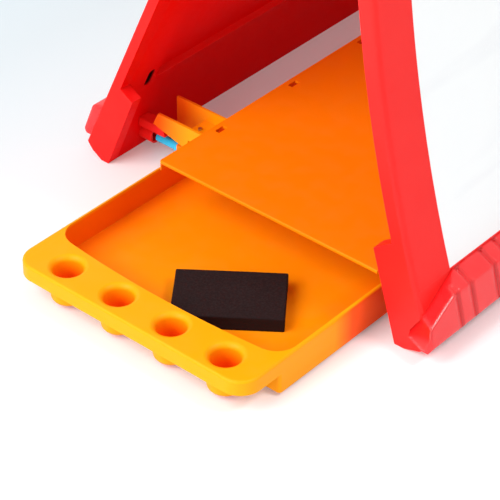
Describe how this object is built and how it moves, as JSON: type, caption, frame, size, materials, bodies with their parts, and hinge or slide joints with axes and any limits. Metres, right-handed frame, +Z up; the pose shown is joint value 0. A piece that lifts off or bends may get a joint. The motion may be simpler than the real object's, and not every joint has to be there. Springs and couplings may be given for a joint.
{
  "type": "tabletop whiteboard easel",
  "caption": "Tabletop easel with two magnetic boards hinged at the top, a tray between the feet and a pull-out drawer with marker cups and a foam eraser.",
  "frame": {"origin": "on the table, under the middle of the easel's overall box with the drawer drawn out", "axes": "+X out of the white board, +Y along the boards' width away from the drawer's end, +Z up"},
  "size_m": [0.3644, 0.596, 0.535],
  "materials": {
    "red_plastic": "satin",
    "red_gloss": "gloss",
    "white_steel": "gloss",
    "yellow_plastic": "satin",
    "orange_plastic": "satin",
    "steel": "satin",
    "black_rubber": "matte",
    "eraser_foam": "matte",
    "blue_plastic": "gloss"
  },
  "bodies": {
    "stand": {"white_frame": "red_plastic", "white_sheet": "white_steel", "white_ledge": "red_gloss", "white_feet": "black_rubber", "hinge_pin": "steel", "hinge_caps": "red_plastic", "tray_cover": "orange_plastic", "tray_frame": "yellow_plastic", "tray_screws": "steel", "guide_screws": "steel", "guide_left": "yellow_plastic", "guide_right": "yellow_plastic"},
    "rear_panel": {"rear_frame": "red_plastic", "rear_sheet": "white_steel", "rear_ledge": "red_gloss", "rear_feet": "black_rubber", "tongue_front": "red_plastic", "tongue_rear": "red_plastic", "bolt_keeper": "red_plastic"},
    "drawer": {"drawer": "yellow_plastic"},
    "eraser": {"eraser": "eraser_foam"},
    "lock_bolt": {"lock_bolt": "blue_plastic"}
  },
  "joints": [
    {"name": "easel_fold", "type": "hinge", "parent": "stand", "child": "rear_panel", "pos_m": [0.07774, 0.062, 0.52], "axis": [0, 1, 0], "range_deg": [0, 8]},
    {"name": "drawer_slide", "type": "slide", "parent": "stand", "child": "drawer", "axis": [0, -1, 0], "range_m": [-0.092, 0.056]},
    {"name": "eraser_lift", "type": "slide", "parent": "drawer", "child": "eraser", "axis": [0, 0, 1], "range_m": [0, 0.01]},
    {"name": "bolt_slide", "type": "slide", "parent": "stand", "child": "lock_bolt", "axis": [-1, 0, 0], "range_m": [0, 0.007]}
  ]
}
